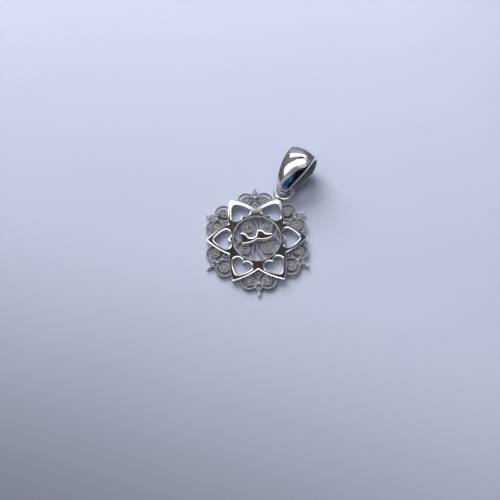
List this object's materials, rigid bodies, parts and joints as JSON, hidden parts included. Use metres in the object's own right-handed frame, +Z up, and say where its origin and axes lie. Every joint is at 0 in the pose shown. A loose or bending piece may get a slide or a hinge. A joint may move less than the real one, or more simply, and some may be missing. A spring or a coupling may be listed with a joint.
{
  "type": "pendant",
  "caption": "Openwork flower pendant with heart-pierced petals, filigree fans, a hub filigree under a raised plaque, and a tapered bail linked through a ring, lying face up.",
  "frame": {"origin": "on the surface that the pendant lies on, under the middle of its bounding box", "axes": "+Y along the pendant from the petal opposite the ring toward the bail, +Z up out of the pendant's face"},
  "size_m": [0.0224, 0.0304, 0.0069],
  "materials": {
    "silver_rosette": "polished plate with darkened filigree",
    "silver_bail": "mirror polished outside, brushed inside"
  },
  "bodies": {
    "root": {"rosette": "silver_rosette", "bail": "silver_bail"}
  },
  "joints": []
}
